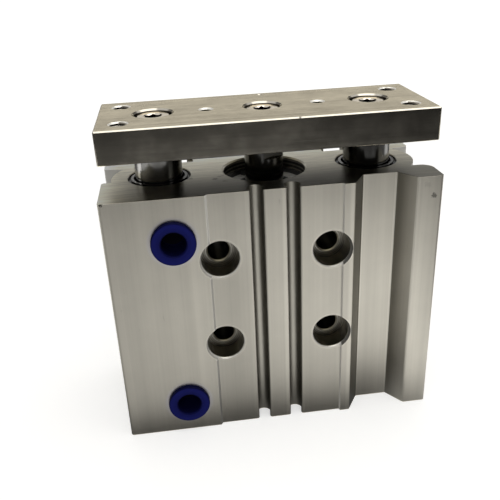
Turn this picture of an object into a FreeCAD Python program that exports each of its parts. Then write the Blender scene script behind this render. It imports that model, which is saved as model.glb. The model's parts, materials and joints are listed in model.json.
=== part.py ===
import FreeCAD, Part
import math
import os

# A compact guided pneumatic cylinder with a 20 mm bore and a 30 mm stroke.
# An extruded aluminium body holds the air cylinder in the middle and a plain
# bearing guide on each side. The piston rod and the two guide rods carry a
# flat end plate, which lifts by the stroke when air enters the lower port.
# Millimetres. X runs along the row of rods, -Y is the face with the air ports,
# +Z is the way the plate lifts. The origin is the middle of the body's bottom.

# ---- driving dimensions ------------------------------------------------------
STROKE = 30.0
BORE_R = 10.0

BODY_W = 83.0
BODY_D = 36.0
BODY_H = 67.0

PLATE_W = 81.0
PLATE_D = 30.0
PLATE_T = 8.0
PLATE_GAP = 8.0            # body top to plate underside, retracted
PLATE_EDGE = 0.3           # bevel around the upper face and up the corners
PLATE_LOW_EDGE = 0.15      # and around the lower face

GUIDE_X = 27.0             # guide rods stand at +X and -X
GUIDE_ROD_R = 6.0
PISTON_ROD_R = 5.0
ROD_FOOT_Z = 0.5           # guide rods end just inside the bottom face
RUNNING_GAP = 0.03         # radial clearance of everything that slides

# ---- body: outside -----------------------------------------------------------
HALF_W = BODY_W / 2
HALF_D = BODY_D / 2
FRONT_Y = -HALF_D          # port land
PANEL_Y = FRONT_Y + 0.8    # sunk middle panel
STEP_Y = FRONT_Y + 0.1     # narrow strip beside the corner channel
RIM_Y = FRONT_Y + 0.4      # corner rib
PORT_LAND_END_X = -16.8
PANEL_START_X = -16.3
PANEL_END_X = 16.8
STRIP_END_X = 19.3
CHANNEL_FLOOR_X = (22.8, 31.5)
CHANNEL_FLOOR_Y = -12.3
RIM_START_X = 35.1
RIM_START_R = 1.0
RIM_BACK_Y = -8.0
RIM_BACK_R = 3.0
LEFT_LAND_BACK_Y = -2.4
FLANGE_Y = 9.0             # back flange starts here on both sides
WAIST_X = 36.5             # hidden inside the guide lobes
WAIST_Y = 7.6
LOBE_R = 12.2
EDGE_R = 0.8
SOFT_R = 0.3
END_EDGE = 0.06            # bevel around both sawn ends

SENSOR_GROOVE_X = 4.45
SENSOR_MOUTH_W = 3.05
SENSOR_MOUTH_R = 0.6
SENSOR_ROUND_R = 2.0
SENSOR_ROUND_Y = -14.9

T_SLOT_X = 22.0
T_SLOT_MOUTH_W = 5.4
T_SLOT_HEAD_W = 8.4
T_SLOT_LIP = 2.8
T_SLOT_DEPTH = 7.8

# ---- body: holes -------------------------------------------------------------
MOUNT_X = 14.0
MOUNT_Z = (26.0, 50.0)
MOUNT_HOLE_R = 2.7
MOUNT_HEAD_R = 4.75
MOUNT_HEAD_DEPTH = 5.6     # below the middle panel
MOUNT_HEAD_LEAD = 0.25     # width of the bevel around the counterbore
MOUNT_HOLE_LEAD = 0.35     # and around the through hole at its bottom
MOUNT_LEAD_SLOPE = 0.58    # the counterbore's bevel widens by this much per depth
MOUNT_STEP_SLOPE = 0.25    # and its wall in the raised land and strip by this much
BACK_THREAD_R = 2.5
BACK_THREAD_DEPTH = 12.0

END_THREAD_X = 36.0
END_THREAD_Y = 14.0
M5_TAP_R = 2.1
END_THREAD_DEPTH = 13.0
THREAD_LEAD = 0.35         # countersink width around a tapped hole

DOWEL_R = 1.5
DOWEL_DEPTH = 6.0
DOWEL_Z = 38.0
DOWEL_SLOT_L = 3.5

PORT_X = -25.0
PORT_Z = (9.0, 55.8)
PORT_R = 4.2               # tapping size of a 1/8 inch pipe thread
PORT_DEPTH = 8.5
PORT_LEAD = 0.4
SIDE_PORT_Y = -7.2
SIDE_PORT_DEPTH = 6.0
PASSAGE_R = 1.0
PASSAGE_START = (PORT_X, -12.0)
PASSAGE_END = (-9.5, -3.0)
LINK_START = (-35.8, -10.0)
LINK_END = (-28.0, -12.0)

# ---- air cylinder ------------------------------------------------------------
RING_T = 1.1
HEAD_RING_Z = 1.1
HEAD_RING_R = 10.8
HEAD_COVER_Z = HEAD_RING_Z + RING_T
HEAD_COVER_T = 5.3
HEAD_COVER_TOP = HEAD_COVER_Z + HEAD_COVER_T

MOUTH_R = 10.6
COVER_SHOULDER_Z = 57.5
COVER_TOP_Z = 63.0
COVER_NOSE_R = 9.0
COVER_NOSE_Z = 52.5
ROD_RING_R = 11.4
RING_BAND = 1.6            # radial width of both retaining rings
RING_GAP_DEG = 50.0
RING_EAR_R = 1.5
RING_EAR_HOLE_R = 0.65

GASKET_H = 1.9
GASKET_DEPTH = 1.45
ROD_SEAL_R = 7.4
ROD_SEAL_Z = 60.4
ROD_SEAL_LIP = 0.3

PISTON_R = BORE_R - 0.05
BUMPER_R = 8.5
BUMPER_END_GAP = 0.2
BUMPER_HEAD_T = 2.6
PISTON_Z = HEAD_COVER_TOP + BUMPER_END_GAP + BUMPER_HEAD_T
PISTON_TOP_Z = 20.5
BUMPER_ROD_TOP_Z = COVER_NOSE_Z - STROKE - BUMPER_END_GAP
SPIGOT_R = 4.0
RIVET_R = 5.0
RIVET_T = 1.2
RIVET_BUMPER_R = 5.4
MAGNET_Z = (11.4, 13.4)
MAGNET_IN_R = 7.0
MAGNET_OUT_R = 9.6
PISTON_SEAL_Z = (14.6, 17.2)
PISTON_SEAL_IN_R = 7.6
WEAR_RING_Z = (18.2, 19.7)
WEAR_RING_IN_R = 8.9

FLAT_AF = 8.0              # spanner flats at the top of the piston rod
FLAT_L = 4.5
FLAT_TURN_DEG = -60.0

# ---- guides ------------------------------------------------------------------
GUIDE_BORE_R = 7.0
BEARING_SEAT_R = 8.0
BEARING_SEAT_Z = 33.0
BEARING_Z = {"lower": (33.0, 45.0), "upper": (47.0, 63.0)}
HOLDER_TOP_Z = 66.95
HOLDER_LIP_R = 6.5
HOLDER_LIP_T = 1.0
HOLDER_FLAT_R = 7.2        # a groove is left around it
HOLDER_GROOVE_T = 0.6
FELT_R = 7.4
FELT_Z = (63.0, HOLDER_TOP_Z - HOLDER_LIP_T)
BORE_LEAD = 0.4            # bevel at both mouths of a machined bore
GUIDE_LEAD = 0.15          # bevel above each felt holder

# ---- end plate and its screws ------------------------------------------------
PLATE_Z = BODY_H + PLATE_GAP
PLATE_TOP_Z = PLATE_Z + PLATE_T
PLATE_THREAD_X = 35.0
PLATE_THREAD_Y = 9.0
PLATE_DOWEL_X = 14.0
COUNTERBORE_LEAD = 0.45
DOWEL_LEAD = 0.4
SCREW_HEAD_R = 4.25
SCREW_HEAD_H = 5.0
SCREW_HEAD_SUNK = 0.6
SCREW_R = 2.5
SCREW_HOLE_R = 2.7
SCREW_REACH = 12.0         # thread inside the rod
SCREW_HEX_AF = 4.0
SCREW_HEX_DEPTH = 2.6
SCREW_EDGE = 0.4
SCREW_TURN_DEG = {"left": 0.0, "piston": 3.0, "right": 12.0}
HEX_LEAD = 0.35            # countersink width around a hexagon socket
DRILL_POINT_DEG = 59.0     # half angle of a twist drill's point
COUNTERBORE_R = {"guide": 4.75, "piston": 4.5}
DIMPLE_AT = (1.2, 13.1)
DIMPLE_R = 0.86
DIMPLE_RISE = 0.5          # centre of the punch mark's ball above the face
ROD_END_CHAMFER = 0.8

# ---- plugs -------------------------------------------------------------------
CAP_FLANGE_R = 5.5
CAP_FLANGE_T = 1.15
CAP_LENGTH = 8.2
CAP_HOLLOW_R = 3.1
CAP_FLOOR_T = 0.8
CAP_RIM_R = 0.35           # rounding of the flange's outer edge
CAP_LIP_R = 0.3            # rounding of the hollow's mouth
SIDE_PLUG_L = 5.0
SIDE_PLUG_SUNK = 0.5
SIDE_PLUG_HEX_AF = 5.0
SIDE_PLUG_HEX_DEPTH = 3.0

UP = FreeCAD.Vector(0, 0, 1)
FRONT = FreeCAD.Vector(0, -1, 0)
BACK = FreeCAD.Vector(0, 1, 0)
LEFT = FreeCAD.Vector(-1, 0, 0)
RIGHT = FreeCAD.Vector(1, 0, 0)
SPARE = 1.0                # how far a cutting tool runs past a face
TINY = 1e-6


def at(x, y, z):
    return FreeCAD.Vector(x, y, z)


# ---- basic shapes ------------------------------------------------------------
def disc(radius, z0, z1, x=0.0, y=0.0):
    return Part.makeCylinder(radius, z1 - z0, at(x, y, z0), UP)


def ring(inner, outer, z0, z1, x=0.0, y=0.0):
    return disc(outer, z0, z1, x, y).cut(disc(inner, z0 - SPARE, z1 + SPARE, x, y))


def drill(mouth, inward, radius, depth):
    """A round cutter from just outside the mouth to the stated depth."""
    start = mouth - inward * SPARE
    return Part.makeCylinder(radius, depth + SPARE, start, inward)


def countersink(mouth, inward, hole_r, width):
    """A 45 degree cone that is `width` wider than the hole at its mouth."""
    start = mouth - inward * SPARE
    return Part.makeCone(hole_r + width + SPARE, hole_r, width + SPARE, start, inward)


def tapped(mouth, inward, radius, depth, lead=THREAD_LEAD):
    hole = drill(mouth, inward, radius, depth)
    return hole.fuse(countersink(mouth, inward, radius, lead))


def bored_between(start, end, radius, z):
    """A round passage at one height, from one XY point to another."""
    a, b = at(*start, z), at(*end, z)
    return Part.makeCylinder(radius, (b - a).Length, a, b - a)


def hex_socket(mouth, inward, across_flats, depth, turn_deg=0.0):
    """A six-sided cutter with a lead at its mouth and a drill point at its bottom."""
    corner = across_flats / math.sqrt(3)
    other = inward.cross(BACK)
    start = mouth - inward * SPARE
    points = []
    for k in range(7):
        turn = math.radians(60 * k + turn_deg)
        points.append(start + BACK * (corner * math.cos(turn)) + other * (corner * math.sin(turn)))
    hexagon = Part.Face(Part.makePolygon(points)).extrude(inward * (depth + SPARE))
    drill_r = across_flats / 2
    point_h = drill_r / math.tan(math.radians(DRILL_POINT_DEG))
    point = Part.makeCone(drill_r, 0, point_h, mouth + inward * depth, inward)
    lead = countersink(mouth, inward, drill_r, HEX_LEAD)
    return hexagon.fuse([point, lead])


def turned(profile, x=0.0, y=0.0):
    """A solid of revolution about a vertical axis from (radius, z) points."""
    points = [at(x + r, y, z) for r, z in profile]
    face = Part.Face(Part.makePolygon(points + points[:1]))
    return face.revolve(at(x, y, 0), UP, 360)


def rounded_face(corners):
    """A flat face from (x, y, corner radius) points in order."""
    edges, ends = [], []
    count = len(corners)
    for k, (x, y, radius) in enumerate(corners):
        here = at(x, y, 0)
        before = at(*corners[k - 1][:2], 0) - here
        after = at(*corners[(k + 1) % count][:2], 0) - here
        before.normalize()
        after.normalize()
        if radius <= 0:
            ends.append((here, here))
            continue
        half = before.getAngle(after) / 2
        reach = radius / math.tan(half)
        first, last = here + before * reach, here + after * reach
        inward = before + after
        inward.normalize()
        middle = here + inward * (radius / math.sin(half) - radius)
        edges.append(Part.Arc(first, middle, last).toShape())
        ends.append((first, last))
    for k, (first, _) in enumerate(ends):
        last = ends[k - 1][1]
        if (first - last).Length > TINY:
            edges.append(Part.LineSegment(last, first).toShape())
    return Part.Face(Part.Wire(Part.__sortEdges__(edges)))


def mirrored_x(x):
    return [-x, x]


# ---- body --------------------------------------------------------------------
def sensor_groove_corners(x):
    half = SENSOR_MOUTH_W / 2
    return [
        (x - half, PANEL_Y, SENSOR_MOUTH_R),
        (x - half, SENSOR_ROUND_Y, 0),
        (x + half, SENSOR_ROUND_Y, 0),
        (x + half, PANEL_Y, SENSOR_MOUTH_R),
    ]


def body_section():
    """The extrusion's outline, anticlockwise from the front left corner."""
    front = [
        (-HALF_W, FRONT_Y, EDGE_R),
        (PORT_LAND_END_X, FRONT_Y, SOFT_R),
        (PANEL_START_X, PANEL_Y, SOFT_R),
        *sensor_groove_corners(-SENSOR_GROOVE_X),
        *sensor_groove_corners(SENSOR_GROOVE_X),
        (PANEL_END_X - SOFT_R, PANEL_Y, 0),
        (PANEL_END_X, STEP_Y, 0),
        (STRIP_END_X, STEP_Y, SOFT_R),
        (CHANNEL_FLOOR_X[0], CHANNEL_FLOOR_Y, SOFT_R),
        (CHANNEL_FLOOR_X[1], CHANNEL_FLOOR_Y, SOFT_R),
        (RIM_START_X, RIM_Y, RIM_START_R),
        (HALF_W, RIM_Y, EDGE_R),
    ]
    right = [
        (HALF_W, RIM_BACK_Y, RIM_BACK_R),
        (WAIST_X, RIM_BACK_Y, 0),
        (WAIST_X, WAIST_Y, 0),
        (HALF_W, FLANGE_Y, EDGE_R),
    ]
    back = [(HALF_W, HALF_D, EDGE_R), (-HALF_W, HALF_D, EDGE_R)]
    left = [
        (-HALF_W, FLANGE_Y, EDGE_R),
        (-WAIST_X, WAIST_Y, 0),
        (-WAIST_X, LEFT_LAND_BACK_Y, 0),
        (-HALF_W, LEFT_LAND_BACK_Y, EDGE_R),
    ]
    return rounded_face(front + right + back + left)


def t_slot(x):
    length = BODY_H + 2 * SPARE
    mouth = Part.makeBox(
        T_SLOT_MOUTH_W, T_SLOT_LIP + 2 * SPARE, length,
        at(x - T_SLOT_MOUTH_W / 2, HALF_D - T_SLOT_LIP - SPARE, -SPARE))
    head = Part.makeBox(
        T_SLOT_HEAD_W, T_SLOT_DEPTH - T_SLOT_LIP, length,
        at(x - T_SLOT_HEAD_W / 2, HALF_D - T_SLOT_DEPTH, -SPARE))
    return mouth.fuse(head)


def mounting_hole(x, z):
    front, back = at(x, PANEL_Y, z), at(x, HALF_D, z)
    head = drill(front, BACK, MOUNT_HEAD_R, MOUNT_HEAD_DEPTH)
    seat = front + BACK * MOUNT_HEAD_DEPTH
    mouth_r = MOUNT_HEAD_R + MOUNT_HEAD_LEAD
    outer_r = mouth_r + SPARE * MOUNT_STEP_SLOPE
    bevels = [
        Part.makeCone(outer_r, mouth_r, SPARE, front + FRONT * SPARE, BACK),
        Part.makeCone(mouth_r, MOUNT_HEAD_R, MOUNT_HEAD_LEAD / MOUNT_LEAD_SLOPE, front, BACK),
        countersink(seat, BACK, MOUNT_HOLE_R, MOUNT_HOLE_LEAD),
    ]
    through = drill(front, BACK, MOUNT_HOLE_R, BODY_D - BACK_THREAD_DEPTH - (PANEL_Y - FRONT_Y))
    thread = tapped(back, FRONT, BACK_THREAD_R, BACK_THREAD_DEPTH)
    return head.fuse([through, thread, *bevels])


def air_ports(z):
    """The front port, the side port, and the drillings that join them to the bore."""
    front, side = at(PORT_X, FRONT_Y, z), at(-HALF_W, SIDE_PORT_Y, z)
    return tapped(front, BACK, PORT_R, PORT_DEPTH, PORT_LEAD).fuse([
        tapped(side, RIGHT, PORT_R, SIDE_PORT_DEPTH, PORT_LEAD),
        bored_between(PASSAGE_START, PASSAGE_END, PASSAGE_R, z),
        bored_between(LINK_START, LINK_END, PASSAGE_R, z),
    ])


def guide_bore(x):
    return disc(GUIDE_BORE_R, -SPARE, BODY_H, x).fuse([
        disc(BEARING_SEAT_R, BEARING_SEAT_Z, BODY_H + SPARE, x),
        countersink(at(x, 0, BODY_H), -UP, BEARING_SEAT_R, GUIDE_LEAD),
        countersink(at(x, 0, 0), UP, GUIDE_BORE_R, BORE_LEAD),
    ])


def cylinder_bore():
    return disc(BORE_R, -SPARE, BODY_H).fuse([
        disc(MOUTH_R, COVER_SHOULDER_Z, BODY_H + SPARE),
        disc(ROD_RING_R, COVER_TOP_Z, COVER_TOP_Z + RING_T),
        disc(HEAD_RING_R, HEAD_RING_Z, HEAD_RING_Z + RING_T),
        countersink(at(0, 0, BODY_H), -UP, MOUTH_R, BORE_LEAD),
        countersink(at(0, 0, 0), UP, BORE_R, BORE_LEAD),
    ])


def dowel_holes():
    """A round hole on the left and a short level slot on the right."""
    half = (DOWEL_SLOT_L - 2 * DOWEL_R) / 2
    mouth = at(MOUNT_X, HALF_D, DOWEL_Z)
    slot = drill(mouth + LEFT * half, FRONT, DOWEL_R, DOWEL_DEPTH)
    slot = slot.fuse([
        drill(mouth + RIGHT * half, FRONT, DOWEL_R, DOWEL_DEPTH),
        Part.makeBox(2 * half, DOWEL_DEPTH + SPARE, 2 * DOWEL_R,
                     at(MOUNT_X - half, HALF_D - DOWEL_DEPTH, DOWEL_Z - DOWEL_R)),
    ])
    return slot.fuse(drill(at(-MOUNT_X, HALF_D, DOWEL_Z), FRONT, DOWEL_R, DOWEL_DEPTH))


def cylinder_body():
    solid = body_section().extrude(UP * BODY_H)
    solid = solid.fuse([disc(LOBE_R, 0, BODY_H, x) for x in mirrored_x(GUIDE_X)])
    solid = solid.removeSplitter()
    for x in mirrored_x(SENSOR_GROOVE_X):
        solid = solid.cut(disc(SENSOR_ROUND_R, -SPARE, BODY_H + SPARE, x, SENSOR_ROUND_Y))
    ends = [f for f in solid.Faces if f.BoundBox.ZLength < SPARE]
    solid = solid.makeChamfer(END_EDGE, [e for f in ends for e in f.OuterWire.Edges])
    cutters = [cylinder_bore(), dowel_holes()]
    cutters += [t_slot(x) for x in mirrored_x(T_SLOT_X)]
    cutters += [guide_bore(x) for x in mirrored_x(GUIDE_X)]
    cutters += [air_ports(z) for z in PORT_Z]
    for x in mirrored_x(MOUNT_X):
        cutters += [mounting_hole(x, z) for z in MOUNT_Z]
    for x in mirrored_x(END_THREAD_X):
        for y in (-END_THREAD_Y, END_THREAD_Y):
            cutters.append(tapped(at(x, y, 0), UP, M5_TAP_R, END_THREAD_DEPTH))
    for cutter in cutters:
        solid = solid.cut(cutter)
    return solid


# ---- air cylinder ------------------------------------------------------------
def retaining_ring(outer, z, gap_deg):
    """A C-shaped ring with two drilled ears; gap_deg is the way its gap faces."""
    inner = outer - RING_BAND
    band = ring(inner, outer, z, z + RING_T)
    half = math.radians(RING_GAP_DEG / 2)
    middle = math.radians(gap_deg)
    far = 2 * outer
    wedge = [at(0, 0, z - SPARE)]
    for turn in (middle - half, middle + half):
        wedge.append(at(far * math.cos(turn), far * math.sin(turn), z - SPARE))
    gap = Part.Face(Part.makePolygon(wedge + wedge[:1])).extrude(UP * (RING_T + 2 * SPARE))
    solid = band.cut(gap)
    ear_at = inner - RING_EAR_R + RING_BAND / 2
    ears = []
    for turn in (middle - half, middle + half):
        ears.append((ear_at * math.cos(turn), ear_at * math.sin(turn)))
    solid = solid.fuse([disc(RING_EAR_R, z, z + RING_T, x, y) for x, y in ears])
    for x, y in ears:
        solid = solid.cut(disc(RING_EAR_HOLE_R, z - SPARE, z + RING_T + SPARE, x, y))
    return solid.removeSplitter()


def gasket_z(low, high):
    middle = (low + high) / 2
    return middle - GASKET_H / 2, middle + GASKET_H / 2


def head_cover():
    solid = disc(BORE_R, HEAD_COVER_Z, HEAD_COVER_TOP)
    groove = ring(BORE_R - GASKET_DEPTH, BORE_R + SPARE, *gasket_z(HEAD_COVER_Z, HEAD_COVER_TOP))
    return solid.cut(groove)


def head_cover_seal():
    return ring(BORE_R - GASKET_DEPTH, BORE_R, *gasket_z(HEAD_COVER_Z, HEAD_COVER_TOP))


def rod_cover():
    rod_hole_r = PISTON_ROD_R + RUNNING_GAP
    solid = turned([
        (rod_hole_r, COVER_NOSE_Z),
        (COVER_NOSE_R, COVER_NOSE_Z),
        (COVER_NOSE_R, COVER_SHOULDER_Z),
        (MOUTH_R, COVER_SHOULDER_Z),
        (MOUTH_R, COVER_TOP_Z),
        (ROD_SEAL_R, COVER_TOP_Z),
        (ROD_SEAL_R, ROD_SEAL_Z),
        (rod_hole_r, ROD_SEAL_Z),
    ])
    groove = ring(MOUTH_R - GASKET_DEPTH, MOUTH_R + SPARE, *gasket_z(COVER_SHOULDER_Z, ROD_SEAL_Z))
    return solid.cut(groove)


def rod_cover_seal():
    return ring(MOUTH_R - GASKET_DEPTH, MOUTH_R, *gasket_z(COVER_SHOULDER_Z, ROD_SEAL_Z))


def rod_seal():
    """A lip seal: a solid ring with a V groove in its upper face."""
    inner = PISTON_ROD_R + RUNNING_GAP
    top = COVER_TOP_Z - ROD_SEAL_LIP
    middle = (inner + ROD_SEAL_R) / 2
    return turned([
        (inner, ROD_SEAL_Z),
        (ROD_SEAL_R, ROD_SEAL_Z),
        (ROD_SEAL_R, top),
        (middle + ROD_SEAL_LIP, top),
        (middle, (top + ROD_SEAL_Z) / 2),
        (middle - ROD_SEAL_LIP, top),
        (inner, top),
    ])


def piston():
    solid = ring(SPIGOT_R, PISTON_R, PISTON_Z, PISTON_TOP_Z)
    grooves = [
        ring(MAGNET_IN_R, BORE_R + SPARE, *MAGNET_Z),
        ring(PISTON_SEAL_IN_R, BORE_R + SPARE, *PISTON_SEAL_Z),
        ring(WEAR_RING_IN_R, BORE_R + SPARE, *WEAR_RING_Z),
        disc(RIVET_R, PISTON_Z - SPARE, PISTON_Z + RIVET_T),
    ]
    for groove in grooves:
        solid = solid.cut(groove)
    return solid


def piston_magnet():
    return ring(MAGNET_IN_R, MAGNET_OUT_R, *MAGNET_Z)


def piston_seal():
    """A double-lip seal that is waisted between its two lips."""
    outer = BORE_R - RUNNING_GAP
    low, high = PISTON_SEAL_Z
    third = (high - low) / 3
    return turned([
        (PISTON_SEAL_IN_R, low),
        (outer - third, low),
        (outer, low + third / 2),
        (outer - third / 2, (low + high) / 2),
        (outer, high - third / 2),
        (outer - third, high),
        (PISTON_SEAL_IN_R, high),
    ])


def piston_wear_ring():
    return ring(WEAR_RING_IN_R, BORE_R - RUNNING_GAP, *WEAR_RING_Z)


def head_bumper():
    return ring(RIVET_BUMPER_R, BUMPER_R, PISTON_Z - BUMPER_HEAD_T, PISTON_Z)


def rod_bumper():
    return ring(PISTON_ROD_R, BUMPER_R, PISTON_TOP_Z, BUMPER_ROD_TOP_Z)


# ---- rods --------------------------------------------------------------------
def screw_hole(x):
    return drill(at(x, 0, PLATE_Z), -UP, SCREW_R, SCREW_REACH + SPARE)


def piston_rod():
    """A plain rod, riveted into the piston below, with two flats at the top."""
    solid = disc(PISTON_ROD_R, PISTON_TOP_Z, PLATE_Z).fuse([
        disc(SPIGOT_R, PISTON_Z, PISTON_TOP_Z),
        disc(RIVET_R, PISTON_Z, PISTON_Z + RIVET_T),
    ])
    solid = solid.cut(screw_hole(0))
    for side in (0, 180):
        flat = Part.makeBox(
            PISTON_ROD_R, 4 * PISTON_ROD_R, FLAT_L + SPARE,
            at(FLAT_AF / 2, -2 * PISTON_ROD_R, PLATE_Z - FLAT_L))
        flat.rotate(at(0, 0, 0), UP, side + FLAT_TURN_DEG)
        solid = solid.cut(flat)
    return solid


def guide_rod(x):
    low = ROD_FOOT_Z + ROD_END_CHAMFER
    solid = turned([
        (0, ROD_FOOT_Z),
        (GUIDE_ROD_R - ROD_END_CHAMFER, ROD_FOOT_Z),
        (GUIDE_ROD_R, low),
        (GUIDE_ROD_R, PLATE_Z),
        (0, PLATE_Z),
    ], x)
    return solid.cut(screw_hole(x))


def guide_bearing(x, z0, z1):
    return ring(GUIDE_ROD_R + RUNNING_GAP, BEARING_SEAT_R, z0, z1, x)


def guide_felt(x):
    return ring(GUIDE_ROD_R + RUNNING_GAP, FELT_R, *FELT_Z, x)


def felt_holder(x):
    """A cap that keeps the felt ring down, stepped around its outer edge."""
    return turned([
        (FELT_R, FELT_Z[0]),
        (BEARING_SEAT_R, FELT_Z[0]),
        (BEARING_SEAT_R, HOLDER_TOP_Z - HOLDER_GROOVE_T),
        (HOLDER_FLAT_R, HOLDER_TOP_Z - HOLDER_GROOVE_T),
        (HOLDER_FLAT_R, HOLDER_TOP_Z),
        (HOLDER_LIP_R, HOLDER_TOP_Z),
        (HOLDER_LIP_R, HOLDER_TOP_Z - HOLDER_LIP_T),
        (FELT_R, HOLDER_TOP_Z - HOLDER_LIP_T),
    ], x)


# ---- end plate ---------------------------------------------------------------
def end_plate():
    solid = Part.makeBox(PLATE_W, PLATE_D, PLATE_T, at(-PLATE_W / 2, -PLATE_D / 2, PLATE_Z))
    solid = solid.makeChamfer(PLATE_EDGE, [e for e in solid.Edges if e.BoundBox.ZMax > PLATE_TOP_Z - TINY])
    solid = solid.makeChamfer(PLATE_LOW_EDGE, [e for e in solid.Edges if e.BoundBox.ZMax < PLATE_Z + TINY])
    cutters = []
    places = {"guide": mirrored_x(GUIDE_X), "piston": [0.0]}
    for kind, row in places.items():
        for x in row:
            mouth = at(x, 0, PLATE_TOP_Z)
            depth = SCREW_HEAD_SUNK + SCREW_HEAD_H
            cutters.append(drill(mouth, -UP, COUNTERBORE_R[kind], depth))
            cutters.append(countersink(mouth, -UP, COUNTERBORE_R[kind], COUNTERBORE_LEAD))
            cutters.append(drill(mouth, -UP, SCREW_HOLE_R, PLATE_T + SPARE))
    for x in mirrored_x(PLATE_THREAD_X):
        for y in (-PLATE_THREAD_Y, PLATE_THREAD_Y):
            cutters.append(tapped(at(x, y, PLATE_TOP_Z), -UP, M5_TAP_R, PLATE_T + SPARE))
            cutters.append(countersink(at(x, y, PLATE_Z), UP, M5_TAP_R, THREAD_LEAD))
    for x in mirrored_x(PLATE_DOWEL_X):
        cutters.append(tapped(at(x, 0, PLATE_TOP_Z), -UP, DOWEL_R, PLATE_T + SPARE, DOWEL_LEAD))
    cutters.append(Part.makeSphere(DIMPLE_R, at(*DIMPLE_AT, PLATE_TOP_Z + DIMPLE_RISE)))
    for cutter in cutters:
        solid = solid.cut(cutter)
    return solid


def plate_screw(x, turn_deg):
    """A socket head cap screw whose head stands in the plate's counterbore."""
    top = PLATE_TOP_Z - SCREW_HEAD_SUNK
    seat = top - SCREW_HEAD_H
    tip = PLATE_Z - SCREW_REACH
    solid = turned([
        (0, tip),
        (SCREW_R - SCREW_EDGE, tip),
        (SCREW_R, tip + SCREW_EDGE),
        (SCREW_R, seat),
        (SCREW_HEAD_R, seat),
        (SCREW_HEAD_R, top - SCREW_EDGE),
        (SCREW_HEAD_R - SCREW_EDGE, top),
        (0, top),
    ], x)
    return solid.cut(hex_socket(at(x, 0, top), -UP, SCREW_HEX_AF, SCREW_HEX_DEPTH, turn_deg))


# ---- plugs -------------------------------------------------------------------
def port_cap(z):
    """A push-in dust cap: a flat flange around a hollow stem with a closed end."""
    stem_r = PORT_R - RUNNING_GAP
    floor = CAP_LENGTH - CAP_FLOOR_T
    section = rounded_face([
        (CAP_HOLLOW_R, 0, CAP_LIP_R),
        (CAP_HOLLOW_R, floor, 0),
        (0, floor, 0),
        (0, CAP_LENGTH, 0),
        (stem_r, CAP_LENGTH, CAP_LIP_R),
        (stem_r, CAP_FLANGE_T, 0),
        (CAP_FLANGE_R, CAP_FLANGE_T, 0),
        (CAP_FLANGE_R, 0, CAP_RIM_R),
    ])
    cap = section.revolve(at(0, 0, 0), BACK, 360)
    cap.translate(at(PORT_X, FRONT_Y - CAP_FLANGE_T, z))
    return cap


def side_port_plug(z):
    """A hexagon socket plug, sunk just below the side face."""
    mouth = at(-HALF_W + SIDE_PLUG_SUNK, SIDE_PORT_Y, z)
    solid = Part.makeCylinder(PORT_R, SIDE_PLUG_L, mouth, RIGHT)
    return solid.cut(hex_socket(mouth, RIGHT, SIDE_PLUG_HEX_AF, SIDE_PLUG_HEX_DEPTH))


# ---- every sub-part by name --------------------------------------------------
def build():
    parts = {
        "cylinder_body": cylinder_body(),
        "head_cover": head_cover(),
        "head_cover_seal": head_cover_seal(),
        "head_retaining_ring": retaining_ring(HEAD_RING_R, HEAD_RING_Z, -90),
        "rod_cover": rod_cover(),
        "rod_cover_seal": rod_cover_seal(),
        "rod_seal": rod_seal(),
        "rod_retaining_ring": retaining_ring(ROD_RING_R, COVER_TOP_Z, 90),
        "piston": piston(),
        "piston_magnet": piston_magnet(),
        "piston_seal": piston_seal(),
        "piston_wear_ring": piston_wear_ring(),
        "head_bumper": head_bumper(),
        "rod_bumper": rod_bumper(),
        "piston_rod": piston_rod(),
        "end_plate": end_plate(),
        "piston_rod_screw": plate_screw(0, SCREW_TURN_DEG["piston"]),
    }
    for side, x in zip(("left", "right"), mirrored_x(GUIDE_X)):
        parts[f"guide_rod_{side}"] = guide_rod(x)
        parts[f"guide_felt_{side}"] = guide_felt(x)
        parts[f"felt_holder_{side}"] = felt_holder(x)
        parts[f"guide_rod_screw_{side}"] = plate_screw(x, SCREW_TURN_DEG[side])
        for level, heights in BEARING_Z.items():
            parts[f"guide_bearing_{level}_{side}"] = guide_bearing(x, *heights)
    for level, z in zip(("lower", "upper"), PORT_Z):
        parts[f"port_cap_{level}"] = port_cap(z)
        parts[f"side_port_plug_{level}"] = side_port_plug(z)
    return parts


os.makedirs("parts", exist_ok=True)
for node, shape in build().items():
    if len(shape.Solids) != 1 or not shape.isValid():
        raise SystemExit(f"{node} is not one valid solid")
    shape.Solids[0].exportStep(f"parts/{node}.step")
    print(f"{node:28s} {shape.Volume:10.1f} mm3")
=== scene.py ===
import json
import math

import bpy
from mathutils import Matrix, Vector


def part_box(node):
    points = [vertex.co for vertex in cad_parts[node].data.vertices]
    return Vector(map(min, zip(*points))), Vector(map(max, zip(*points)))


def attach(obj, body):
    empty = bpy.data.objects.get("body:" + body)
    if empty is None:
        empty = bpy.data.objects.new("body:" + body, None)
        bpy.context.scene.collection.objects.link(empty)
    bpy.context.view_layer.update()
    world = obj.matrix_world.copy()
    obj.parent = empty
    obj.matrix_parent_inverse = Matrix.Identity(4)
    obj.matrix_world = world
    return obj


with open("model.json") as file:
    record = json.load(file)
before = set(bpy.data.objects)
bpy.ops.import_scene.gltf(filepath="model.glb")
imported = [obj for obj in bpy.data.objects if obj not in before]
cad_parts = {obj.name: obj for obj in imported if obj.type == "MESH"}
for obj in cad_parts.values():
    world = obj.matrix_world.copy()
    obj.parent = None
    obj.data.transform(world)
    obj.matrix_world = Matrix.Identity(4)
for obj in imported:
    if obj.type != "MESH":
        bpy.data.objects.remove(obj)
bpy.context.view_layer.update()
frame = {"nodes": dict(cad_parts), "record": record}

# A compact guided pneumatic cylinder: a clear anodised aluminium extrusion with a
# nickel plated end plate on three rods. Metres, in the part's own frame: +X along
# the row of rods, -Y is the face with the air ports, +Z is the way the plate lifts.

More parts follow.
